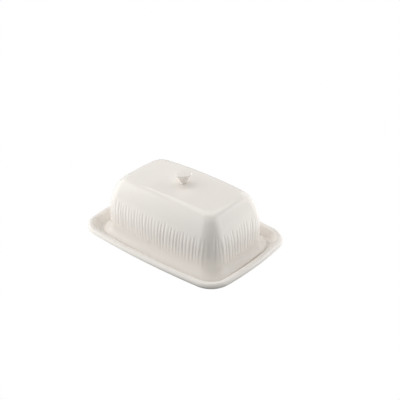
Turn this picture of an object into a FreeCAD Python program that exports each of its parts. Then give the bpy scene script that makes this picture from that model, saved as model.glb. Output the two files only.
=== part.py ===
import FreeCAD, Part
import math
import os

import Sketcher

# A lidded butter dish in glazed ceramic: a low rectangular tray with bowed sides and a thick rolled
# rim, and a deep lid with an arched roof, leaning walls, a flared foot, a band of upright flutes and
# a small conical knob. Millimetres. X runs along the dish, Y across it and Z up. The origin is the
# centre of the tray's foot ring, where it stands on the table.

doc = FreeCAD.newDocument("butter_dish")

# ---------------------------------------------------------------- driving dimensions

SIZES = [
    # the tray, seen from above, at the widest line of its rim
    ("tray_half_length", 99.7),
    ("tray_half_width", 69.3),
    ("tray_corner", 26.0),
    ("tray_long_bow", 960.0),
    ("tray_short_bow", 385.0),
    # the tray's section: a rounded belly under a thick rolled rim, and a cove down to the floor
    ("belly_height", 9.9),
    ("belly_inset", 11.0),
    ("belly_shape", 1.4),
    ("rim_height", 13.9),
    ("rim_width", 7.6),
    ("rim_outer_round", 3.8),
    ("rim_inner_round", 3.6),
    ("floor_height", 4.3),
    ("cove_width", 4.4),
    ("cove_shape", 2.6),
    ("floor_round", 1.5),
    # the foot ring that the tray stands on
    ("ring_height", 1.5),
    ("ring_inset", 16.0),
    ("ring_width", 4.0),
    ("ring_edge_round", 0.5),
    # the lid, seen from above, at its foot
    ("lid_half_length", 85.6),
    ("lid_half_width", 56.2),
    ("lid_corner", 25.4),
    ("lid_long_bow", 760.0),
    ("lid_short_bow", 920.0),
    ("lid_corner_shrink", 0.7),
    # the lid's walls: a foot band, a flare, an upright stretch, then an arc that leans in
    ("foot_band", 1.8),
    ("foot_edge_round", 0.6),
    ("band_round", 1.5),
    ("flare_inset", 7.5),
    ("flare_height", 15.5),
    ("upright_height", 25.0),
    ("wall_arc", 62.0),
    ("wall_thickness", 4.4),
    # the lid's roof
    ("roof_height", 67.0),
    ("roof_arch", 780.0),
    ("roof_thickness", 4.6),
    ("roof_spare", 1.0),
    ("shoulder_round", 12.0),
    ("inner_shoulder_round", 7.5),
    # the knob, whose neck is stuck into a shallow seat in the roof
    ("seat_depth", 1.2),
    ("neck_radius", 3.0),
    ("neck_height", 0.6),
    ("cone_radius", 7.6),
    ("cone_height", 9.4),
    ("head_radius", 8.8),
    ("head_low", 10.9),
    ("head_high", 12.2),
    ("knob_height", 13.0),
    ("knob_round", 0.5),
    # the flutes carved round the lid's wall
    ("flutes_per_side", 28),
    ("flutes_per_end", 12),
    ("flutes_per_corner", 6),
    ("flute_middle", 28.5),
    ("flute_half_length", 15.0),
    ("flute_wander", 1.2),
    ("flute_depth", 1.0),
    ("flute_cutter", 2.0),
]

sizes = doc.addObject("Spreadsheet::Sheet", "sizes")
for row, (alias, value) in enumerate(SIZES, start=1):
    sizes.set(f"A{row}", alias)
    sizes.set(f"B{row}", str(value))
    sizes.setAlias(f"B{row}", alias)
doc.recompute()


def evaluate(expression):
    """The number that an expression of sheet cells gives now."""
    return float(sizes.evalExpression(expression))


# ---------------------------------------------------------------- helpers

START, END, CENTRE = 1, 2, 3
ORIGIN_POINT = (-1, 1)
X_AXIS, Y_AXIS = -1, -2


def new_body(name):
    return doc.addObject("PartDesign::Body", name)


def origin_plane(body, role):
    return next(feature for feature in body.Origin.OriginFeatures if feature.Role == role)


def new_sketch(body, name, role, height=None):
    """A sketch on one of the body's origin planes, raised by an expression if one is given."""
    sketch = body.newObject("Sketcher::SketchObject", name)
    sketch.AttachmentSupport = [(origin_plane(body, role), "")]
    sketch.MapMode = "FlatFace"
    if height is not None:
        sketch.setExpression("AttachmentOffset.Base.z", height)
    return sketch


def dimension(sketch, name, expression, kind, *where):
    """A named dimension of the sketch, bound to an expression of sheet cells."""
    index = sketch.addConstraint(Sketcher.Constraint(kind, *where, evaluate(expression)))
    sketch.renameConstraint(index, name)
    sketch.setExpression(f"Constraints.{name}", expression)


def add_arc(sketch, centre, radius, first, last):
    circle = Part.Circle(FreeCAD.Vector(*centre, 0), FreeCAD.Vector(0, 0, 1), radius)
    return sketch.addGeometry(Part.ArcOfCircle(circle, first, last))


def corner_of(half_x, half_y, radius, bow_x, bow_y):
    """Where a bowed outline's corner arc sits: its centre, and the angles at which it ends."""
    side_x = half_x - bow_y
    side_y = half_y - bow_x
    # the centre is where the two side arcs, drawn in by the corner radius, cross
    reach_x = bow_x - radius
    reach_y = bow_y - radius
    gap = math.hypot(side_x, side_y)
    along = (gap ** 2 + reach_y ** 2 - reach_x ** 2) / (2 * gap)
    off = math.sqrt(reach_y ** 2 - along ** 2)
    toward = (-side_x / gap, side_y / gap)
    centre_x = side_x + along * toward[0] - off * toward[1]
    centre_y = along * toward[1] + off * toward[0]
    short_turn = math.atan2(centre_y, centre_x - side_x)
    long_turn = math.atan2(centre_y - side_y, centre_x)
    return centre_x, centre_y, short_turn, long_turn


def outline(body, name, height, length, width, corner, long_bow, short_bow):
    """A closed outline in a level plane: four round corners and four bowed sides, all tangent.

    length and width are half the size over the middles of the sides, corner is the corner radius,
    and the bows are the radii of the long and short sides. All are expressions of sheet cells.
    """
    half_x, half_y, radius, bow_x, bow_y = (
        evaluate(text) for text in (length, width, corner, long_bow, short_bow))
    centre_x, centre_y, short_turn, long_turn = corner_of(half_x, half_y, radius, bow_x, bow_y)
    side_x = half_x - bow_y
    side_y = half_y - bow_x
    turn = math.pi
    sketch = new_sketch(body, name, "XY_Plane", height)
    add_arc(sketch, (side_x, 0), bow_y, -short_turn, short_turn)
    add_arc(sketch, (centre_x, centre_y), radius, short_turn, long_turn)
    add_arc(sketch, (0, side_y), bow_x, long_turn, turn - long_turn)
    add_arc(sketch, (-centre_x, centre_y), radius, turn - long_turn, turn - short_turn)
    add_arc(sketch, (-side_x, 0), bow_y, turn - short_turn, turn + short_turn)
    add_arc(sketch, (-centre_x, -centre_y), radius, turn + short_turn, turn + long_turn)
    add_arc(sketch, (0, -side_y), bow_x, turn + long_turn, 2 * turn - long_turn)
    add_arc(sketch, (centre_x, -centre_y), radius, 2 * turn - long_turn, 2 * turn - short_turn)
    right, top, left, bottom = 0, 2, 4, 6
    corners = (1, 3, 5, 7)
    arcs = 8
    for arc in range(arcs):
        sketch.addConstraint(Sketcher.Constraint("Tangent", arc, END, (arc + 1) % arcs, START))
    for other in corners[1:]:
        sketch.addConstraint(Sketcher.Constraint("Equal", corners[0], other))
    sketch.addConstraint(Sketcher.Constraint("Equal", right, left))
    sketch.addConstraint(Sketcher.Constraint("Equal", top, bottom))
    for arc in (right, left):
        sketch.addConstraint(Sketcher.Constraint("PointOnObject", arc, CENTRE, X_AXIS))
    for arc in (top, bottom):
        sketch.addConstraint(Sketcher.Constraint("PointOnObject", arc, CENTRE, Y_AXIS))
    dimension(sketch, "corner_radius", corner, "Radius", corners[0])
    dimension(sketch, "long_bow", long_bow, "Radius", top)
    dimension(sketch, "short_bow", short_bow, "Radius", right)
    to_top = f"({long_bow}) - ({width})"
    to_right = f"({short_bow}) - ({length})"
    dimension(sketch, "top_centre", to_top, "DistanceY", top, CENTRE, *ORIGIN_POINT)
    dimension(sketch, "bottom_centre", to_top, "DistanceY", *ORIGIN_POINT, bottom, CENTRE)
    dimension(sketch, "right_centre", to_right, "DistanceX", right, CENTRE, *ORIGIN_POINT)
    dimension(sketch, "left_centre", to_right, "DistanceX", *ORIGIN_POINT, left, CENTRE)
    sketch.Visibility = False
    return sketch


def loft(body, name, sections, kind="PartDesign::AdditiveLoft"):
    feature = body.newObject(kind, name)
    feature.Profile = sections[0]
    feature.Sections = sections[1:]
    feature.Ruled = False
    doc.recompute()
    return feature


def round_edges(body, name, radius, wanted):
    """A fillet of the edges of the body's last feature that wanted(edge) picks."""
    base = body.Tip
    picked = [f"Edge{number}" for number, edge in enumerate(base.Shape.Edges, start=1)
              if wanted(edge)]
    fillet = body.newObject("PartDesign::Fillet", name)
    fillet.Base = (base, picked)
    fillet.setExpression("Radius", radius)
    doc.recompute()
    return fillet


NEAR = 0.05


def level_at(height):
    """Picks the edges that lie in the level plane at this height."""
    return lambda edge: (abs(edge.BoundBox.ZMin - height) < NEAR
                         and abs(edge.BoundBox.ZMax - height) < NEAR)


# ---------------------------------------------------------------- the tray


def tray_outline(body, name, height, inset):
    """The tray's outline at a height, drawn in from the rim by an inset."""
    return outline(body, name, height,
                   f"sizes.tray_half_length - ({inset})",
                   f"sizes.tray_half_width - ({inset})",
                   f"sizes.tray_corner - ({inset})",
                   f"sizes.tray_long_bow - ({inset})",
                   f"sizes.tray_short_bow - ({inset})")


def share(height, low, high):
    """How far a height has risen from low to high, from 0 to 1, as an expression."""
    return f"min(1; (({height}) - {low}) / ({high} - {low}))"


def levels(low, high, steps):
    """Expressions for evenly spaced heights from low to high."""
    return [f"{low} + ({high} - {low}) * {step} / {steps}" for step in range(steps + 1)]


tray = new_body("tray")
sections = []
for step, height in enumerate(levels("sizes.ring_height", "sizes.belly_height", 5)):
    risen = share(height, "sizes.ring_height", "sizes.belly_height")
    inset = f"sizes.belly_inset * (1 - {risen}) ^ sizes.belly_shape"
    sections.append(tray_outline(tray, f"belly_{step}", height, inset))
loft(tray, "belly", sections)

rim_outline = tray_outline(tray, "rim_outline", "sizes.belly_height", "0")
rim = tray.newObject("PartDesign::Pad", "rim")
rim.Profile = rim_outline
rim.setExpression("Length", "sizes.rim_height - sizes.belly_height")
doc.recompute()

ring_outline = tray_outline(tray, "ring_outline", "0", "sizes.ring_inset")
ring = tray.newObject("PartDesign::Pad", "foot_ring")
ring.Profile = ring_outline
ring.setExpression("Length", "sizes.ring_height")
doc.recompute()
recess_outline = tray_outline(tray, "recess_outline", "0", "sizes.ring_inset + sizes.ring_width")
recess = tray.newObject("PartDesign::Pocket", "ring_recess")
recess.Profile = recess_outline
recess.Reversed = True
recess.setExpression("Length", "sizes.ring_height")
doc.recompute()

sections = []
for step, height in enumerate(levels("sizes.floor_height", "sizes.rim_height", 4)):
    risen = share(height, "sizes.floor_height", "sizes.rim_height")
    inset = f"sizes.rim_width + sizes.cove_width * (1 - {risen}) ^ sizes.cove_shape"
    sections.append(tray_outline(tray, f"hollow_{step}", height, inset))
loft(tray, "hollow", sections, "PartDesign::SubtractiveLoft")


def rim_edges(outer):
    """Picks the rim's outer or inner edges at its top plane."""
    top = evaluate("sizes.rim_height")
    middle = evaluate("sizes.tray_half_length - sizes.rim_width / 2")
    corner = evaluate("sizes.tray_corner - sizes.rim_width / 2")
    half_width = evaluate("sizes.tray_half_width - sizes.rim_width / 2")

    def wanted(edge):
        if abs(edge.BoundBox.ZMin - top) > NEAR:
            return False
        point = edge.valueAt((edge.FirstParameter + edge.LastParameter) / 2)
        reach_x = max(0.0, abs(point.x) - (middle - corner))
        reach_y = max(0.0, abs(point.y) - (half_width - corner))
        return (math.hypot(reach_x, reach_y) > corner) == outer
    return wanted


round_edges(tray, "rim_outer_round", "sizes.rim_outer_round", rim_edges(True))
round_edges(tray, "rim_inner_round", "sizes.rim_inner_round", rim_edges(False))
round_edges(tray, "floor_round", "sizes.floor_round", level_at(evaluate("sizes.floor_height")))
round_edges(tray, "ring_round", "sizes.ring_edge_round", level_at(0.0))

# ---------------------------------------------------------------- the lid


FLARE_RISE = "(sizes.flare_height - sizes.foot_band)"
FLARE_ARC = f"((sizes.flare_inset ^ 2 + {FLARE_RISE} ^ 2) / (2 * sizes.flare_inset))"


def wall_inset(height):
    """How far the lid's wall has drawn in from its foot at a height, as an expression."""
    below = f"max(0; min({FLARE_RISE}; sizes.flare_height - ({height})))"
    above = f"max(0; ({height}) - sizes.upright_height)"
    return (f"(sizes.flare_inset - {FLARE_ARC} + sqrt({FLARE_ARC} ^ 2 - {below} ^ 2)"
            f" + sizes.wall_arc - sqrt(sizes.wall_arc ^ 2 - {above} ^ 2))")


def lid_outline(body, name, height, inset):
    """The lid's outline at a height, drawn in further by an inset for the hollow inside it."""
    drawn_in = wall_inset(height)
    return outline(body, name, height,
                   f"sizes.lid_half_length - {drawn_in} - {inset}",
                   f"sizes.lid_half_width - {drawn_in} - {inset}",
                   f"sizes.lid_corner - sizes.lid_corner_shrink * {drawn_in} - {inset}",
                   f"sizes.lid_long_bow - {drawn_in} - {inset}",
                   f"sizes.lid_short_bow - {drawn_in} - {inset}")


def arch_cut(body, name, drop):
    """Cuts off everything above the roof's arch, which is lowered by drop."""
    roof = f"(sizes.roof_height - {drop})"
    radius = f"(sizes.roof_arch - {drop})"
    reach = "sizes.lid_half_length"
    clear = f"{roof} + sizes.lid_half_width"
    height, curve, half = (evaluate(text) for text in (roof, radius, reach))
    turn = math.asin(half / curve)
    spring = height - curve + curve * math.cos(turn)
    above = evaluate(clear)
    sketch = new_sketch(body, name + "_outline", "XZ_Plane")
    quarter = math.pi / 2
    add_arc(sketch, (0, height - curve), curve, quarter - turn, quarter + turn)
    corners = [(-half, spring), (-half, above), (half, above), (half, spring)]
    for first, second in zip(corners, corners[1:]):
        line = Part.LineSegment(FreeCAD.Vector(*first, 0), FreeCAD.Vector(*second, 0))
        sketch.addGeometry(line)
    arc, left, top, right = 0, 1, 2, 3
    sketch.addConstraint(Sketcher.Constraint("Coincident", arc, END, left, START))
    sketch.addConstraint(Sketcher.Constraint("Coincident", left, END, top, START))
    sketch.addConstraint(Sketcher.Constraint("Coincident", top, END, right, START))
    sketch.addConstraint(Sketcher.Constraint("Coincident", right, END, arc, START))
    sketch.addConstraint(Sketcher.Constraint("Vertical", left))
    sketch.addConstraint(Sketcher.Constraint("Horizontal", top))
    sketch.addConstraint(Sketcher.Constraint("Vertical", right))
    sketch.addConstraint(Sketcher.Constraint("PointOnObject", arc, CENTRE, Y_AXIS))
    dimension(sketch, "arch_radius", radius, "Radius", arc)
    dimension(sketch, "arch_centre", f"{radius} - {roof}", "DistanceY", arc, CENTRE, *ORIGIN_POINT)
    dimension(sketch, "above", clear, "DistanceY", *ORIGIN_POINT, top, START)
    dimension(sketch, "reach_left", reach, "DistanceX", left, START, *ORIGIN_POINT)
    dimension(sketch, "reach_right", reach, "DistanceX", *ORIGIN_POINT, right, START)
    sketch.Visibility = False
    pocket = body.newObject("PartDesign::Pocket", name)
    pocket.Profile = sketch
    pocket.Type = "ThroughAll"
    pocket.Midplane = True
    doc.recompute()
    return pocket


FLARE_STEPS = 4
WALL_STEPS = 6
TOP = "(sizes.roof_height + sizes.roof_spare)"
CREASE_SHARE = 0.8


def lid_form(name, inset, drop, shoulder):
    """The lid's outer form, or with an inset and a drop the hollow inside it."""
    body = new_body(name)
    band = body.newObject("PartDesign::Pad", name + "_band")
    band.Profile = lid_outline(body, name + "_foot", "0", inset)
    band.setExpression("Length", "sizes.foot_band")
    doc.recompute()
    heights = levels("sizes.foot_band", "sizes.flare_height", FLARE_STEPS)
    heights += levels("sizes.flare_height", TOP, WALL_STEPS)[1:]
    sections = []
    for step, height in enumerate(heights):
        sections.append(lid_outline(body, f"{name}_level_{step}", height, inset))
    loft(body, name + "_walls", sections)
    arch_cut(body, name + "_arch", drop)
    crease = evaluate("sizes.roof_height") * CREASE_SHARE
    round_edges(body, name + "_shoulder", shoulder, lambda edge: edge.BoundBox.ZMin > crease)
    return body


lid_outer = lid_form("lid_outer", "0", "0", "sizes.shoulder_round")
round_edges(lid_outer, "band_edge", "sizes.band_round", level_at(evaluate("sizes.foot_band")))
round_edges(lid_outer, "foot_edge", "sizes.foot_edge_round", level_at(0.0))
lid_hollow = lid_form("lid_hollow", "sizes.wall_thickness", "sizes.roof_thickness",
                      "sizes.inner_shoulder_round")

lid_shell = doc.addObject("Part::Cut", "lid_shell")
lid_shell.Base = lid_outer
lid_shell.Tool = lid_hollow

knob_seat = doc.addObject("Part::Cylinder", "knob_seat")
knob_seat.setExpression("Radius", "sizes.neck_radius")
knob_seat.setExpression("Height", "sizes.seat_depth + sizes.roof_spare")
knob_seat.setExpression("Placement.Base.z", "sizes.roof_height - sizes.seat_depth")

seated_shell = doc.addObject("Part::Cut", "seated_shell")
seated_shell.Base = lid_shell
seated_shell.Tool = knob_seat
doc.recompute()

# ---------------------------------------------------------------- the flutes

UNEVEN_STEP = 2.4


def wall_at(height):
    """The numbers of the lid's outline at a height: half sizes, corner and bows."""
    drawn_in = evaluate(wall_inset(height))
    half_x = evaluate("sizes.lid_half_length") - drawn_in
    half_y = evaluate("sizes.lid_half_width") - drawn_in
    radius = evaluate("sizes.lid_corner") - evaluate("sizes.lid_corner_shrink") * drawn_in
    bow_x = evaluate("sizes.lid_long_bow") - drawn_in
    bow_y = evaluate("sizes.lid_short_bow") - drawn_in
    return half_x, half_y, radius, bow_x, bow_y


def flute_places():
    """Points of a quarter of the outline at the flutes' middle, each with its outward angle."""
    half_x, half_y, radius, bow_x, bow_y = wall_at("sizes.flute_middle")
    centre_x, centre_y, short_turn, long_turn = corner_of(half_x, half_y, radius, bow_x, bow_y)
    places = []

    def along_arc(centre, size, first, last, count):
        for number in range(count):
            angle = first + (last - first) * (number + 0.5) / count
            point = (centre[0] + size * math.cos(angle), centre[1] + size * math.sin(angle))
            places.append((point, angle))
    per_end, per_corner, per_side = (
        int(evaluate(f"sizes.flutes_per_{part}")) for part in ("end", "corner", "side"))
    along_arc((half_x - bow_y, 0), bow_y, 0, short_turn, per_end // 2)
    along_arc((centre_x, centre_y), radius, short_turn, long_turn, per_corner)
    along_arc((0, half_y - bow_x), bow_x, long_turn, math.pi / 2, per_side // 2)
    return places


def flute_cutter(point, angle, number):
    """A straight rod laid along the wall's chord, so that it bites most at its middle."""
    middle = evaluate("sizes.flute_middle")
    half = evaluate("sizes.flute_half_length")
    cutter = evaluate("sizes.flute_cutter")
    low = evaluate(wall_inset(f"{middle - half}"))
    high = evaluate(wall_inset(f"{middle + half}"))
    lean = math.atan2(high - low, 2 * half)
    outward = cutter - evaluate("sizes.flute_depth")
    rise = math.sin(UNEVEN_STEP * number) * evaluate("sizes.flute_wander")
    out = FreeCAD.Vector(math.cos(angle), math.sin(angle), 0)
    along = FreeCAD.Vector(0, 0, 1) * math.cos(lean) - out * math.sin(lean)
    centre = FreeCAD.Vector(point[0], point[1], middle) + out * outward + along * rise
    return Part.makeCylinder(cutter, 2 * half, centre - along * half, along)


rods = []
for mirror_x, mirror_y in ((1, 1), (-1, 1), (-1, -1), (1, -1)):
    for point, angle in flute_places():
        place = (point[0] * mirror_x, point[1] * mirror_y)
        outward = math.atan2(mirror_y * math.sin(angle), mirror_x * math.cos(angle))
        rods.append(flute_cutter(place, outward, len(rods)))
flute_rods = doc.addObject("Part::Feature", "flute_rods")
flute_rods.Shape = Part.makeCompound(rods)

lid = doc.addObject("Part::Cut", "lid")
lid.Base = seated_shell
lid.Tool = flute_rods
lid.setExpression("Placement.Base.z", "sizes.floor_height")
doc.recompute()

# ---------------------------------------------------------------- the knob


def knob_profile(body):
    """Half of the knob's section: a straight neck, a widening cone and a thin domed head."""
    corners = [
        ("foot", None, None),
        ("neck_low", "sizes.neck_radius", None),
        ("neck_high", "sizes.neck_radius", "sizes.seat_depth + sizes.neck_height"),
        ("cone", "sizes.cone_radius", "sizes.seat_depth + sizes.cone_height"),
        ("head_low", "sizes.head_radius", "sizes.seat_depth + sizes.head_low"),
        ("head_high", "sizes.head_radius", "sizes.seat_depth + sizes.head_high"),
        ("crown", None, "sizes.seat_depth + sizes.knob_height"),
    ]
    points = []
    for _, across, up in corners:
        points.append((evaluate(across) if across else 0.0, evaluate(up) if up else 0.0))
    sketch = new_sketch(body, "knob_section", "XZ_Plane")
    lines = len(corners) - 2
    for first, second in zip(points[:lines], points[1:lines + 1]):
        line = Part.LineSegment(FreeCAD.Vector(*first, 0), FreeCAD.Vector(*second, 0))
        sketch.addGeometry(line)
    rim, crown = points[-2], points[-1]
    dome = crown[1] - rim[1]
    curve = (rim[0] ** 2 + dome ** 2) / (2 * dome)
    turn = math.asin(rim[0] / curve)
    quarter = math.pi / 2
    arc = add_arc(sketch, (0, crown[1] - curve), curve, quarter - turn, quarter)
    sketch.addGeometry(Part.LineSegment(FreeCAD.Vector(*crown, 0), FreeCAD.Vector(*points[0], 0)))
    edges = lines + 2
    for edge in range(edges):
        following = (edge + 1) % edges
        sketch.addConstraint(Sketcher.Constraint("Coincident", edge, END, following, START))
    sketch.addConstraint(Sketcher.Constraint("PointOnObject", arc, CENTRE, Y_AXIS))
    for index, (name, across, up) in enumerate(corners):
        if across:
            dimension(sketch, name + "_across", across, "DistanceX", *ORIGIN_POINT, index, START)
        else:
            sketch.addConstraint(Sketcher.Constraint("PointOnObject", index, START, Y_AXIS))
        if up:
            dimension(sketch, name + "_up", up, "DistanceY", *ORIGIN_POINT, index, START)
        else:
            sketch.addConstraint(Sketcher.Constraint("PointOnObject", index, START, X_AXIS))
    sketch.Visibility = False
    return sketch


knob = new_body("knob")
turned = knob.newObject("PartDesign::Revolution", "turned_knob")
turned.Profile = knob_profile(knob)
turned.ReferenceAxis = (turned.Profile[0], ["V_Axis"])
turned.Angle = 360.0
doc.recompute()
neck_top = evaluate("sizes.seat_depth + sizes.neck_height") - NEAR
round_edges(knob, "knob_edges", "sizes.knob_round",
            lambda edge: (edge.BoundBox.ZMin > neck_top and edge.BoundBox.ZLength < NEAR
                          and edge.BoundBox.XLength > NEAR))
knob.setExpression("Placement.Base.z",
                   "sizes.floor_height + sizes.roof_height - sizes.seat_depth")
doc.recompute()

# ---------------------------------------------------------------- checks and files

PIECES = (tray, lid, knob)

for item in doc.Objects:
    if "Invalid" in item.State or "Error" in item.State:
        raise RuntimeError(f"{item.Label} failed: {item.State}")
for piece in PIECES:
    shape = piece.Shape
    if shape.isNull() or not shape.isValid() or len(shape.Solids) != 1:
        raise RuntimeError(f"{piece.Label} is not one valid solid")
    print(piece.Label, "volume", round(shape.Volume), "faces", len(shape.Faces))

os.makedirs("parts", exist_ok=True)
for piece in PIECES:
    piece.Shape.exportStep(f"parts/{piece.Label}.step")
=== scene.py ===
"""A lidded butter dish in white glazed porcelain: tray, fluted lid and knob, on a pale floor.

Shapes are worked out in millimetres and turned into metres where a mesh is made. Every place
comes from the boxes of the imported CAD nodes; the other sizes are the named values below.
"""

import math
from types import SimpleNamespace

import bpy
import numpy as np
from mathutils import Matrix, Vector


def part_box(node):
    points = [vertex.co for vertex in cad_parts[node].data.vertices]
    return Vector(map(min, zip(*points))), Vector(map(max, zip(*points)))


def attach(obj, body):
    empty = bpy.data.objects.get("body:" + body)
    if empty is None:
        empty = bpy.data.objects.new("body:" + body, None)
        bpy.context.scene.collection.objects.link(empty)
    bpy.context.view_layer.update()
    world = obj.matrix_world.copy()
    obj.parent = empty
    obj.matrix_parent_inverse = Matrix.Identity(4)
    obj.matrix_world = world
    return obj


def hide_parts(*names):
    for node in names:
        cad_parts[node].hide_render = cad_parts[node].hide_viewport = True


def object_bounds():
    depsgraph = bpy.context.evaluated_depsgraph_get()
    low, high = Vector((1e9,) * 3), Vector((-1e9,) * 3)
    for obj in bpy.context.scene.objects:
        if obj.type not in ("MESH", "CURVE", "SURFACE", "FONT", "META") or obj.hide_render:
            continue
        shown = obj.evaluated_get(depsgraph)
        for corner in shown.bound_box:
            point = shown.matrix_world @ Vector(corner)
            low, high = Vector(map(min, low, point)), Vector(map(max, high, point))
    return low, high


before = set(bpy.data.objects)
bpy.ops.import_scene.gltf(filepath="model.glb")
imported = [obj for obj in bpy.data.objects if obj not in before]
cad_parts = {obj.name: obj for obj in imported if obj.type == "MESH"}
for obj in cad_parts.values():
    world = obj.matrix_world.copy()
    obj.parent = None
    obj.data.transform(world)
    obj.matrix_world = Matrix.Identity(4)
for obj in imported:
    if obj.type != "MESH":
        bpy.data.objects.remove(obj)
cad_low, cad_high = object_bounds()

MM = 0.001

_, tray_high = (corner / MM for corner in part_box("tray"))
lid_low, lid_high = (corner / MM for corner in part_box("lid"))
knob_low, knob_high = (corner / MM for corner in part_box("knob"))

# ---------------------------------------------------------------- outlines

# A quarter of every outline is counted in flutes: half an end, a corner, then half a side.
FLUTES_END = 6
FLUTES_CORNER = 6
FLUTES_SIDE = 14
FLUTES_QUARTER = FLUTES_END + FLUTES_CORNER + FLUTES_SIDE

NEARLY_STRAIGHT = math.radians(89)


def columns(per_flute):
    """The mesh columns that go once round an outline, from the middle of the +X end."""
    steps = FLUTES_QUARTER * per_flute
    out = np.arange(steps) / per_flute
    back = FLUTES_QUARTER - out
    return SimpleNamespace(
        along=np.concatenate([out, back, out, back]),
        sign_x=np.repeat([1, -1, -1, 1], steps),
        sign_y=np.repeat([1, 1, -1, -1], steps),
        flute=np.arange(4 * steps) / per_flute,
        count=4 * steps,
    )


def ring(form, inset, shrink, cols):
    """Where a bowed outline with round corners, drawn in by an inset, passes each column.

    The corner radius shrinks by its own amount. Both may differ from column to column. Returns
    the points and their outward directions.
    """
    half_x = form.half_x - inset
    half_y = form.half_y - inset
    radius = form.corner - shrink
    bow_x = form.bow_x - inset
    bow_y = form.bow_y - inset
    side_x = half_x - bow_y
    side_y = half_y - bow_x
    reach_x = bow_x - radius
    reach_y = bow_y - radius
    gap = np.hypot(side_x, side_y)
    along = (gap ** 2 + reach_y ** 2 - reach_x ** 2) / (2 * gap)
    off = np.sqrt(reach_y ** 2 - along ** 2)
    centre_x = side_x - (along * side_x + off * side_y) / gap
    centre_y = (along * side_y - off * side_x) / gap
    short_turn = np.arctan2(centre_y, centre_x - side_x)
    long_turn = np.arctan2(centre_y - side_y, centre_x)

    end = cols.along < FLUTES_END
    side = cols.along >= FLUTES_END + FLUTES_CORNER
    round_corner = (cols.along - FLUTES_END) / FLUTES_CORNER
    up_side = (cols.along - FLUTES_END - FLUTES_CORNER) / FLUTES_SIDE
    angle = np.where(end, short_turn * cols.along / FLUTES_END,
                     np.where(side, long_turn + (math.pi / 2 - long_turn) * up_side,
                              short_turn + (long_turn - short_turn) * round_corner))
    size = np.where(end, bow_y, np.where(side, bow_x, radius))
    x = np.where(end, side_x, np.where(side, 0, centre_x)) + size * np.cos(angle)
    y = np.where(end, 0, np.where(side, side_y, centre_y)) + size * np.sin(angle)
    points = np.stack([x * cols.sign_x, y * cols.sign_y], -1)
    outward = np.stack([np.cos(angle) * cols.sign_x, np.sin(angle) * cols.sign_y], -1)
    return points, outward


def level(points, height):
    """Adds a height, or one height for each column, to points seen from above."""
    return np.column_stack([points, np.broadcast_to(height, len(points))])


def rounded(corners, steps):
    """A line through (a, b, radius) corners, each rounded by an arc of its radius in steps."""
    line = [np.array(corners[0][:2], float)]
    for before, corner, after in zip(corners, corners[1:], corners[2:]):
        point = np.array(corner[:2], float)
        to_before = np.array(before[:2], float) - point
        to_after = np.array(after[:2], float) - point
        to_before /= np.linalg.norm(to_before)
        to_after /= np.linalg.norm(to_after)
        half = math.acos(np.clip(to_before @ to_after, -1, 1)) / 2
        if corner[2] == 0 or half > NEARLY_STRAIGHT:
            line.append(point)
            continue
        reach = corner[2] / math.tan(half)
        weight = math.sin(half)
        first = point + to_before * reach
        last = point + to_after * reach
        for step in range(steps + 1):
            s = step / steps
            shares = np.array([(1 - s) ** 2, 2 * weight * s * (1 - s), s ** 2])
            line.append((shares[0] * first + shares[1] * point + shares[2] * last) / shares.sum())
    line.append(np.array(corners[-1][:2], float))
    return line


# ---------------------------------------------------------------- meshes


def skin(name, rows, marks=None):
    """A closed mesh from rings of points, the first and last closed by a flat face.

    marks holds named values for each point, which the material reads.
    """
    count = len(rows[0])
    points = np.concatenate(rows) * MM
    faces = []
    for row in range(len(rows) - 1):
        start = row * count
        for column in range(count):
            following = (column + 1) % count
            faces.append((start + column, start + following,
                          start + count + following, start + count + column))
    faces.append(tuple(reversed(range(count))))
    faces.append(tuple(range((len(rows) - 1) * count, len(rows) * count)))
    mesh = bpy.data.meshes.new(name)
    mesh.from_pydata(points.tolist(), [], faces)
    mesh.shade_smooth()
    for mark, values in (marks or {}).items():
        layer = mesh.attributes.new(mark, "FLOAT", "POINT")
        layer.data.foreach_set("value", np.concatenate(values).astype(np.float32))
    mesh.update()
    piece = bpy.data.objects.new(name, mesh)
    bpy.context.scene.collection.objects.link(piece)
    return piece


# ---------------------------------------------------------------- the tray

TRAY = SimpleNamespace(half_x=tray_high.x, half_y=tray_high.y, corner=26.0, bow_x=960.0,
                       bow_y=385.0)
RIM_TOP = tray_high.z
RIM_WIDTH = 6.4
FLOOR = lid_low.z
SLOPE_FOOT = 12.7
RING_HEIGHT = 1.5
RING_INSET = 16.0
RING_WIDTH = 4.0
BELLY_HEIGHT = 10.1
BELLY_INSET = 11.0
BELLY_SHAPE = 1.4
BELLY_STEPS = 10
TRAY_BARE_BELOW = 0.45
TRAY_COLUMNS = 4

# The radii of the section's corners, and the steps each is rounded in.
RING_EDGE = 0.5
RING_ROOT = 0.8
BELLY_ROOT = 1.2
RIM_OUTSIDE = 3.6
RIM_INSIDE = 4.0
SLOPE_ROOT = 4.5
SECTION_STEPS = 10

# The shares of the way from the middle at which the flat floor and underside have rings.
FLAT_SHARES = (0.75, 0.5, 0.25)
FLAT_MARGIN_UNDER = 2
FLAT_MARGIN_INSIDE = 6


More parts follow.
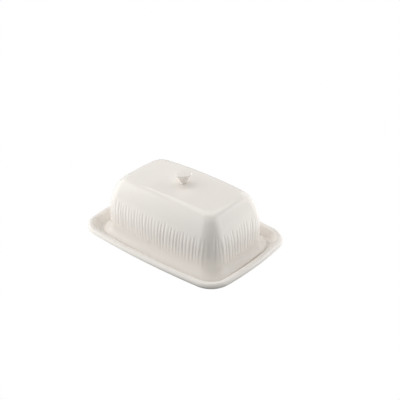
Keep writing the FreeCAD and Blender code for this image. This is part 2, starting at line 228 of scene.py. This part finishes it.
def tray_section():
    """(inset, height) points from under the middle, round the foot ring and rim, to the floor."""
    corners = [(RING_INSET + RING_WIDTH + FLAT_MARGIN_UNDER, RING_HEIGHT, 0),
               (RING_INSET + RING_WIDTH, RING_HEIGHT, RING_EDGE),
               (RING_INSET + RING_WIDTH, 0, RING_EDGE),
               (RING_INSET, 0, RING_EDGE),
               (RING_INSET, RING_HEIGHT, RING_ROOT),
               (BELLY_INSET, RING_HEIGHT, BELLY_ROOT)]
    for step in range(1, BELLY_STEPS + 1):
        risen = step / BELLY_STEPS
        inset = BELLY_INSET * (1 - risen) ** BELLY_SHAPE
        corners.append((inset, RING_HEIGHT + (BELLY_HEIGHT - RING_HEIGHT) * risen, 0))
    corners.append((0, RIM_TOP, RIM_OUTSIDE))
    corners.append((RIM_WIDTH, RIM_TOP, RIM_INSIDE))
    corners.append((SLOPE_FOOT, FLOOR, SLOPE_ROOT))
    corners.append((SLOPE_FOOT + FLAT_MARGIN_INSIDE, FLOOR, 0))
    return rounded(corners, SECTION_STEPS)


def make_tray():
    cols = columns(TRAY_COLUMNS)
    rows = []
    bare = []
    for inset, height in tray_section():
        points, _ = ring(TRAY, inset, inset, cols)
        rows.append(level(points, height))
        bare.append(np.full(cols.count, 1.0 if height < TRAY_BARE_BELOW else 0.0))
    under = [rows[0] * [share, share, 1] for share in reversed(FLAT_SHARES)]
    inside = [rows[-1] * [share, share, 1] for share in FLAT_SHARES]
    plain = [np.zeros(cols.count)] * len(FLAT_SHARES)
    return skin("tray_body", under + rows + inside, {"bare": plain + bare + plain})


# ---------------------------------------------------------------- the lid

WALL = 4.4
ROOF_THICKNESS = 4.6
LID = SimpleNamespace(half_x=lid_high.x, half_y=lid_high.y, corner=25.4, bow_x=760.0, bow_y=920.0)
CORNER_SHRINK = 0.7
FOOT_BAND = 1.8
FLARE_INSET = 7.5
FLARE_HEIGHT = 15.5
UPRIGHT_HEIGHT = 25.0
WALL_ARC = 62.0
ROOF_HEIGHT = lid_high.z - lid_low.z
ROOF_ARCH = 780.0
SHOULDER_REACH = 5.5
CORNER_SHOULDER_REACH = 8.0
INNER_SHOULDER_REACH = 3.2
FLUTE_LOW = 10.5
FLUTE_HIGH = 44.5
FLUTE_DEPTH = 0.58
FLUTE_WIDTH = 0.42
FLUTE_SPLAY = 0.018

# How far the flutes stray from an even row: a half range, or the two ends of a range.
PLACE_STRAY = 0.17
LOW_STRAY = (-2.0, 2.5)
HIGH_STRAY = (-2.5, 1.5)
STRENGTH_RANGE = (0.6, 1.0)
WIDTH_RANGE = (0.85, 1.15)
LEAN_STRAY = 0.012

# The flute's depth along its length, and across it.
SWELL_LOW = 0.8
SWELL_HIGH = 0.55
SWELL_MOST = 0.4
GROOVE_SHAPE = 1.5

# Where the shoulder starts below the crease, as a share of its reach, and how full its curve is.
SHOULDER_START = 0.75
SHOULDER_FULLNESS = 0.92
SHOULDER_STEPS = 10
SHOULDER_SPREAD = 4
ROOF_SHARES = (0.96, 0.9, 0.82, 0.72, 0.6, 0.48, 0.36, 0.24, 0.12, 0.05)

# The foot's rounded edge, and the mesh rows above it.
FOOT_TOP = 0.6
FOOT_OUTSIDE = 0.55
FOOT_INSIDE = 0.5
FOOT_STEPS = 5
LID_BARE_BELOW = 0.35
LID_COLUMNS = 10
OUTER_HEIGHTS = [FOOT_TOP, 1.0, 1.4, 1.8, 2.2, 2.7, 3.3, 4.0, 5.0, 6.2, 7.4]
OUTER_HEIGHTS += list(np.arange(8.2, 46.6, 0.8))
INNER_HEIGHTS = [FOOT_TOP, 1.2, 1.8, 2.4, 3.2, 4.2, 5.4, 7.0, 9.0, 11.5, 14.5, 18.0, 23.0, 28.0]
UPPER_WALL_ROWS = 10


def wall_inset(height):
    """How far the lid's wall has drawn in from its foot at a height, softened at the foot band."""
    rise = FLARE_HEIGHT - FOOT_BAND
    flare_arc = (FLARE_INSET ** 2 + rise ** 2) / (2 * FLARE_INSET)
    total = 0
    softening = np.linspace(-1, 1, 9)
    for shift in softening:
        below = np.clip(FLARE_HEIGHT - height - shift, 0, rise)
        above = np.maximum(height + shift - UPRIGHT_HEIGHT, 0)
        total = total + FLARE_INSET - flare_arc + np.sqrt(flare_arc ** 2 - below ** 2)
        total = total + WALL_ARC - np.sqrt(WALL_ARC ** 2 - above ** 2)
    return total / len(softening)


def roof(x, drop):
    """The height of the roof's arch above the foot, or of its underside."""
    radius = ROOF_ARCH - drop
    return ROOF_HEIGHT - drop - radius + np.sqrt(radius ** 2 - x ** 2)


def lid_ring(height, thickness, cols):
    drawn_in = wall_inset(height)
    return ring(LID, drawn_in + thickness, CORNER_SHRINK * drawn_in + thickness, cols)


def crease(thickness, drop, cols):
    """The height at each column where the wall, carried on upwards, would meet the roof."""
    height = np.full(cols.count, ROOF_HEIGHT - drop)
    for _ in range(20):
        points, _ = lid_ring(height, thickness, cols)
        height = (height + roof(points[:, 0], drop)) / 2
    return height


def shell(thickness, drop, reach, low_heights, cols):
    """Rings of one side of the lid, from just above its foot to the middle of the roof.

    The wall's rows come first, then the rounded shoulder's and the roof's. Returns them all,
    with the heights and the outward directions of the wall's rows.
    """
    edge = crease(thickness, drop, cols)
    top = edge - SHOULDER_START * reach
    rows = []
    heights = []
    outs = []
    for height in low_heights:
        heights.append(np.full(cols.count, height))
    lowest = low_heights[-1]
    for step in range(1, UPPER_WALL_ROWS + 1):
        heights.append(lowest + (top - lowest) * step / UPPER_WALL_ROWS)
    for height in heights:
        points, outward = lid_ring(height, thickness, cols)
        rows.append(level(points, height))
        outs.append(outward)
    edge_points, outward = lid_ring(edge, thickness, cols)
    corner = level(edge_points, edge)
    inner = edge_points - outward * np.reshape(reach, (-1, 1))
    last = level(inner, roof(inner[:, 0], drop))
    first = rows[-1]
    for step in range(1, SHOULDER_STEPS + 1):
        s = step / SHOULDER_STEPS
        a, b, c = (1 - s) ** 2, 2 * SHOULDER_FULLNESS * s * (1 - s), s ** 2
        rows.append((a * first + b * corner + c * last) / (a + b + c))
    for share in ROOF_SHARES:
        points = inner * share
        rows.append(level(points, roof(points[:, 0], drop)))
    return rows, heights, outs


def from_corner(cols):
    """How many flutes each column is from its corner's middle, less than 0 on the end's side."""
    return cols.along - FLUTES_END - FLUTES_CORNER / 2


def flute_map(heights, cols):
    """How deep the carving is at each row and column, from 0 to 1.

    Each flute is a slender groove, pointed at both ends and deepest above its middle. The
    flutes splay away from the corners on their way down. Their length, place, lean and depth
    are a little uneven, as when each is cut by hand.
    """
    random = np.random.default_rng(7)
    total = 4 * FLUTES_QUARTER
    height = np.array(heights)
    depth = np.zeros(height.shape)
    away_from_corner = from_corner(cols)
    turning = cols.sign_x * cols.sign_y
    for number in range(total):
        place = number + 0.5 + random.uniform(-PLACE_STRAY, PLACE_STRAY)
        low = FLUTE_LOW + random.uniform(*LOW_STRAY)
        high = FLUTE_HIGH + random.uniform(*HIGH_STRAY)
        strength = random.uniform(*STRENGTH_RANGE)
        width = FLUTE_WIDTH * random.uniform(*WIDTH_RANGE)
        column = number * cols.count // total
        out = away_from_corner[column]
        span = FLUTES_SIDE + FLUTES_CORNER / 2 if out > 0 else FLUTES_END + FLUTES_CORNER / 2
        splay = math.copysign(math.sin(math.pi * min(abs(out) / span, 1)), out)
        lean = FLUTE_SPLAY * splay * turning[column]
        lean += random.uniform(-LEAN_STRAY, LEAN_STRAY)
        rise = np.clip((height - low) / (high - low), 0, 1)
        away = cols.flute[None, :] - place
        away = (away + total / 2) % total - total / 2
        away = away + lean * (height - (low + high) / 2)
        swell = rise ** SWELL_LOW * (1 - rise) ** SWELL_HIGH / SWELL_MOST
        across = away / np.maximum(width * swell ** 0.5, 1e-6)
        groove = np.clip(1 - across ** 2, 0, 1) ** GROOVE_SHAPE
        depth = np.maximum(depth, groove * swell * strength)
    return depth


def make_lid():
    cols = columns(LID_COLUMNS)
    near_corner = np.exp(-(from_corner(cols) / SHOULDER_SPREAD) ** 2)
    reach = SHOULDER_REACH + (CORNER_SHOULDER_REACH - SHOULDER_REACH) * near_corner
    outer, heights, outs = shell(0, 0, reach, OUTER_HEIGHTS, cols)
    inner, _, _ = shell(WALL, ROOF_THICKNESS, INNER_SHOULDER_REACH, INNER_HEIGHTS, cols)
    carved = flute_map(heights, cols)
    for row, (depth, outward) in enumerate(zip(carved, outs)):
        outer[row][:, :2] -= outward * (depth * FLUTE_DEPTH)[:, None]
    foot = []
    foot_corners = [(WALL, FOOT_TOP, 0), (WALL, 0, FOOT_INSIDE), (0, 0, FOOT_OUTSIDE),
                    (0, FOOT_TOP, 0)]
    for inset, height in rounded(foot_corners, FOOT_STEPS)[1:-1]:
        points, _ = ring(LID, inset, inset, cols)
        foot.append(level(points, height))
    rows = inner[::-1] + foot + outer
    plain = np.zeros(cols.count)
    # The flute depth, which the glaze turns into painted shade in the flutes.
    painted_shade_and_glow = [plain] * (len(inner) + len(foot)) + list(carved)
    painted_shade_and_glow += [plain] * (len(rows) - len(painted_shade_and_glow))
    bare = [plain] * len(inner)
    bare += [np.where(points[:, 2] < LID_BARE_BELOW, 1.0, 0.0) for points in foot]
    bare += [plain] * (len(rows) - len(bare))
    rows = [points + [0, 0, FLOOR] for points in rows]
    return skin("lid_body", rows, {"bare": bare, "painted_shade_and_glow": painted_shade_and_glow})


# ---------------------------------------------------------------- the knob

SEAT_DEPTH = 1.2
NECK_RADIUS = 3.0
CONE_RADIUS = 7.6
DOME_DROP = 0.8
DOME_STEPS = 8
AXIS_RADIUS = 0.6
KNOB_COLUMNS = 96
KNOB_STEPS = 6

# Heights over the roof, and radii, of the corners from the slip fillet up.
FOOT_SUNK = -0.6
FILLET_SUNK = -0.1
FILLET_OUT = 0.8
NECK_HEIGHT = 0.9
NECK_CURVE = 1.6
CONE_HEIGHT = 9.4
CONE_CURVE = 3.0
HEAD_LOW = 11.0
HEAD_HIGH = 12.3
HEAD_CURVE = 0.6


def make_knob():
    """A turned knob: a neck with a slip fillet, a widening cone and a thin domed head."""
    head = knob_high.x
    base = knob_low.z + SEAT_DEPTH
    top = knob_high.z
    corners = [(AXIS_RADIUS, base + FOOT_SUNK, 0),
               (NECK_RADIUS, base + FOOT_SUNK, 0),
               (NECK_RADIUS + FILLET_OUT, base + FILLET_SUNK, 0),
               (NECK_RADIUS, base + NECK_HEIGHT, NECK_CURVE),
               (CONE_RADIUS, base + CONE_HEIGHT, CONE_CURVE),
               (head, base + HEAD_LOW, HEAD_CURVE),
               (head, base + HEAD_HIGH, HEAD_CURVE)]
    for step in range(1, DOME_STEPS):
        share = 1 - step / DOME_STEPS
        corners.append((head * share, top - DOME_DROP * share ** 2, 0))
    corners.append((AXIS_RADIUS, top, 0))
    turn = np.arange(KNOB_COLUMNS) * 2 * math.pi / KNOB_COLUMNS
    circle = np.stack([np.cos(turn), np.sin(turn)], -1)
    rows = [level(circle * radius, height) for radius, height in rounded(corners, KNOB_STEPS)]
    return skin("knob_body", rows)


# ---------------------------------------------------------------- the camera's place and the glow

CAMERA_TURN = math.radians(40.08)
CAMERA_RISE = math.radians(30.54)
CAMERA_DISTANCE = 0.9119
CAMERA_ASIDE = 0.01738
CAMERA_ABOVE = 0.04341
CAMERA_LENS = 74.63


def studio_direction(turn, rise):
    """A direction from the dish, with turn in degrees round from the camera's own direction."""
    angle = CAMERA_TURN + math.radians(turn)
    lift = math.radians(rise)
    return np.array([math.sin(angle) * math.cos(lift), -math.cos(angle) * math.cos(lift),
                     math.sin(lift)])


SEEN_WHITE = 1.0
SKY_FILL = 0.13
SKY_GLOW = [(-90, 35, 0.90), (-45, 35, 0.62), (-135, 0, 0.5)]
SKY_SHARPNESS = 4
FLOOR_GREY = 0.2
FLOOR_GLOW = [(-90, 0, 1.3), (90, 0, 1.5), (180, 0, 0.15)]
FLOOR_SHARPNESS = 2

# The floor's glow beside the dish, and how far out it is whole, in half sizes of the dish.
SHADE_BY_DISH = 0.25
SHADE_ENDS = 2.0

# ---------------------------------------------------------------- materials

GLAZE_WARM = (0.868, 0.826, 0.774)
GLAZE_PALE = (0.888, 0.848, 0.798)
# Painted shade: the darker, warmer colour the flutes are painted towards, more where they are
# deeper.
FLUTE_SHADE_COLOUR = (0.80, 0.765, 0.72)
FLUTE_SHADE_SHARE = 0.35
BARE_CLAY = (0.78, 0.74, 0.68)
GLOSS_LEAST = (0.1,) * 3
GLOSS_MOST = (0.17,) * 3
BARE_GLOSS = (0.75,) * 3
BUMP_STRENGTH = 0.12
BUMP_DISTANCE = 0.0004
GLAZE_IOR = 1.5

# The scale and detail of the noise behind each kind of unevenness.
COLOUR_NOISE = (14, 3)
GLOSS_NOISE = (60, 4)
SURFACE_NOISE = (220, 2)

def glaze(name, painted_shade_and_glow, bare):
    """Warm white porcelain under a clear gloss glaze.

    The colour drifts a little, the carving has painted shade, darker and warmer as it deepens,
    the gloss and the surface are faintly uneven, and where a foot stands the clay is bare and
    matt.
    """
    material = bpy.data.materials.new(name)
    material.use_nodes = True
    nodes = material.node_tree.nodes
    links = material.node_tree.links
    shader = nodes["Principled BSDF"]
    place = nodes.new("ShaderNodeTexCoord")

    def noise(scale, detail):
        node = nodes.new("ShaderNodeTexNoise")
        node.inputs["Scale"].default_value = scale
        node.inputs["Detail"].default_value = detail
        links.new(place.outputs["Object"], node.inputs["Vector"])
        return node.outputs["Fac"]

    def ramp(value, first, last):
        node = nodes.new("ShaderNodeValToRGB")
        node.color_ramp.elements[0].position = 0.3
        node.color_ramp.elements[1].position = 0.7
        node.color_ramp.elements[0].color = (*first, 1)
        node.color_ramp.elements[1].color = (*last, 1)
        links.new(value, node.inputs["Fac"])
        return node.outputs["Color"]

    def mark(attribute):
        node = nodes.new("ShaderNodeAttribute")
        node.attribute_name = attribute
        return node.outputs["Fac"]

    def mixed(factor, base, other, strength):
        scaled = nodes.new("ShaderNodeMath")
        scaled.operation = "MULTIPLY"
        scaled.inputs[1].default_value = strength
        links.new(factor, scaled.inputs[0])
        node = nodes.new("ShaderNodeMix")
        node.data_type = "RGBA"
        links.new(scaled.outputs["Value"], node.inputs["Factor"])
        links.new(base, node.inputs["A"])
        node.inputs["B"].default_value = (*other, 1)
        return node.outputs["Result"]

    colour = ramp(noise(*COLOUR_NOISE), GLAZE_WARM, GLAZE_PALE)
    gloss = ramp(noise(*GLOSS_NOISE), GLOSS_LEAST, GLOSS_MOST)
    # Painted shade in the flutes: the colour is pulled darker and warmer by the flute depth.
    if painted_shade_and_glow:
        colour = mixed(mark("painted_shade_and_glow"), colour, FLUTE_SHADE_COLOUR, FLUTE_SHADE_SHARE)
    if bare:
        colour = mixed(mark("bare"), colour, BARE_CLAY, 1.0)
        gloss = mixed(mark("bare"), gloss, BARE_GLOSS, 1.0)
    links.new(colour, shader.inputs["Base Color"])
    links.new(gloss, shader.inputs["Roughness"])
    bump = nodes.new("ShaderNodeBump")
    bump.inputs["Strength"].default_value = BUMP_STRENGTH
    bump.inputs["Distance"].default_value = BUMP_DISTANCE
    links.new(noise(*SURFACE_NOISE), bump.inputs["Height"])
    links.new(bump.outputs["Normal"], shader.inputs["Normal"])
    shader.inputs["IOR"].default_value = GLAZE_IOR
    return material


def glow(tree, direction, lobes, power):
    """The summed strength of smooth lobes of light, each round its own direction.

    lobes are (turn, rise, strength), with turn measured from the camera's direction. A higher
    power makes them narrower.
    """
    total = None
    for turn, rise, strength in lobes:
        facing = tree.nodes.new("ShaderNodeVectorMath")
        facing.operation = "DOT_PRODUCT"
        facing.inputs[1].default_value = studio_direction(turn, rise)
        tree.links.new(direction, facing.inputs[0])
        last = facing.outputs["Value"]
        for operation, number in (("MAXIMUM", 0), ("POWER", power), ("MULTIPLY", strength)):
            step = tree.nodes.new("ShaderNodeMath")
            step.operation = operation
            step.inputs[1].default_value = number
            tree.links.new(last, step.inputs[0])
            last = step.outputs["Value"]
        if total is not None:
            both = tree.nodes.new("ShaderNodeMath")
            tree.links.new(total, both.inputs[0])
            tree.links.new(last, both.inputs[1])
            last = both.outputs["Value"]
        total = last
    return total


def floor_material():
    """A studio surface that the camera sees as plain white.

    What the dish gets from it is weaker: grey, with a glow to either side that fades close to
    the dish.
    """
    material = bpy.data.materials.new("studio_floor")
    material.use_nodes = True
    tree = material.node_tree
    tree.nodes.clear()
    place = tree.nodes.new("ShaderNodeNewGeometry")
    outward = tree.nodes.new("ShaderNodeVectorMath")
    outward.operation = "NORMALIZE"
    tree.links.new(place.outputs["Position"], outward.inputs[0])
    matt = tree.nodes.new("ShaderNodeBsdfDiffuse")
    matt.inputs["Color"].default_value = (FLOOR_GREY, FLOOR_GREY, FLOOR_GREY, 1)
    squeezed = tree.nodes.new("ShaderNodeVectorMath")
    squeezed.operation = "MULTIPLY"
    squeezed.inputs[1].default_value = (1 / cad_high.x, 1 / cad_high.y, 0)
    tree.links.new(place.outputs["Position"], squeezed.inputs[0])
    away = tree.nodes.new("ShaderNodeVectorMath")
    away.operation = "LENGTH"
    tree.links.new(squeezed.outputs["Vector"], away.inputs[0])
    shade = tree.nodes.new("ShaderNodeMapRange")
    shade.inputs["From Min"].default_value = 1.0
    shade.inputs["From Max"].default_value = SHADE_ENDS
    shade.inputs["To Min"].default_value = SHADE_BY_DISH
    tree.links.new(away.outputs["Value"], shade.inputs["Value"])
    shaded = tree.nodes.new("ShaderNodeMath")
    shaded.operation = "MULTIPLY"
    glowing = glow(tree, outward.outputs["Vector"], FLOOR_GLOW, FLOOR_SHARPNESS)
    tree.links.new(glowing, shaded.inputs[0])
    tree.links.new(shade.outputs["Result"], shaded.inputs[1])
    # The floor's glow towards the dish, with painted shade close to the dish.
    painted_shade_and_glow = tree.nodes.new("ShaderNodeEmission")
    tree.links.new(shaded.outputs["Value"], painted_shade_and_glow.inputs["Strength"])
    lit = tree.nodes.new("ShaderNodeAddShader")
    tree.links.new(matt.outputs["BSDF"], lit.inputs[0])
    tree.links.new(painted_shade_and_glow.outputs["Emission"], lit.inputs[1])
    seen = tree.nodes.new("ShaderNodeEmission")
    seen.inputs["Strength"].default_value = SEEN_WHITE
    path = tree.nodes.new("ShaderNodeLightPath")
    chosen = tree.nodes.new("ShaderNodeMixShader")
    tree.links.new(path.outputs["Is Camera Ray"], chosen.inputs["Fac"])
    tree.links.new(lit.outputs["Shader"], chosen.inputs[1])
    tree.links.new(seen.outputs["Emission"], chosen.inputs[2])
    end = tree.nodes.new("ShaderNodeOutputMaterial")
    tree.links.new(chosen.outputs["Shader"], end.inputs["Surface"])
    return material


# ---------------------------------------------------------------- the object

tray = make_tray()
tray.data.materials.append(glaze("tray_glaze", False, True))
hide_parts("tray")
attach(tray, "tray")

lid = make_lid()
lid.data.materials.append(glaze("lid_glaze", True, True))
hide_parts("lid")
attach(lid, "lid")

knob = make_knob()
knob.data.materials.append(glaze("knob_glaze", False, False))
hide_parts("knob")
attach(knob, "lid")

# ---------------------------------------------------------------- the studio

HALF_FLOOR = 6.0
FLOOR_GAP = 0.0002
floor_mesh = bpy.data.meshes.new("floor")
floor_mesh.from_pydata([(-HALF_FLOOR, -HALF_FLOOR, 0), (HALF_FLOOR, -HALF_FLOOR, 0),
                        (HALF_FLOOR, HALF_FLOOR, 0), (-HALF_FLOOR, HALF_FLOOR, 0)],
                       [], [(0, 1, 2, 3)])
floor = bpy.data.objects.new("floor", floor_mesh)
floor.location.z = cad_low.z - FLOOR_GAP
floor.data.materials.append(floor_material())
bpy.context.scene.collection.objects.link(floor)

back = studio_direction(0, math.degrees(CAMERA_RISE))
aside = np.array([math.cos(CAMERA_TURN), math.sin(CAMERA_TURN), 0])
above = np.cross(back, aside)


def add_camera():
    data = bpy.data.cameras.new("camera")
    data.lens = CAMERA_LENS
    camera = bpy.data.objects.new("camera", data)
    camera.location = back * CAMERA_DISTANCE + aside * CAMERA_ASIDE + above * CAMERA_ABOVE
    camera.rotation_euler = (math.pi / 2 - CAMERA_RISE, 0, CAMERA_TURN)
    bpy.context.scene.collection.objects.link(camera)
    bpy.context.scene.camera = camera


def add_softbox(name, turn, rise, distance, width, height, power):
    """A rectangular soft light that faces the dish.

    turn and rise are in degrees, and turn is measured from the camera's direction.
    """
    data = bpy.data.lights.new(name, "AREA")
    data.shape = "RECTANGLE"
    data.size = width
    data.size_y = height
    data.energy = power
    light = bpy.data.objects.new(name, data)
    light.location = studio_direction(turn, rise) * distance
    facing = CAMERA_TURN + math.radians(turn)
    light.rotation_euler = (math.pi / 2 - math.radians(rise), 0, facing)
    bpy.context.scene.collection.objects.link(light)


def add_world():
    """White behind the dish, and a soft glow round it that is weaker than what the camera sees."""
    world = bpy.data.worlds.new("studio")
    world.use_nodes = True
    tree = world.node_tree
    place = tree.nodes.new("ShaderNodeTexCoord")
    path = tree.nodes.new("ShaderNodeLightPath")
    strength = tree.nodes.new("ShaderNodeMix")
    strength.inputs["B"].default_value = SEEN_WHITE
    tree.links.new(path.outputs["Is Camera Ray"], strength.inputs["Factor"])
    filled = tree.nodes.new("ShaderNodeMath")
    filled.inputs[1].default_value = SKY_FILL
    glowing = glow(tree, place.outputs["Generated"], SKY_GLOW, SKY_SHARPNESS)
    tree.links.new(glowing, filled.inputs[0])
    tree.links.new(filled.outputs["Value"], strength.inputs["A"])
    background = tree.nodes["Background"]
    background.inputs["Color"].default_value = (1, 1, 1, 1)
    tree.links.new(strength.outputs["Result"], background.inputs["Strength"])
    bpy.context.scene.world = world


add_camera()
add_world()
# name, turn, rise, distance, width, height, power
SOFTBOXES = [
    ("left_box", -115, 22, 0.9, 0.9, 0.7, 1.8),
    ("left_near_box", -70, 22, 0.9, 0.9, 0.7, 0.4),
    ("right_box", 130, 22, 0.9, 0.9, 0.7, 2.3),
    ("right_near_box", 85, 22, 0.9, 0.9, 0.7, 2.8),
    ("top_box", 180, 68, 0.9, 0.9, 0.55, 2.4),
    ("back_box", 180, 18, 1.0, 1.0, 0.6, 0.4),
]
for softbox in SOFTBOXES:
    add_softbox(*softbox)

bpy.context.scene.view_settings.view_transform = "Standard"
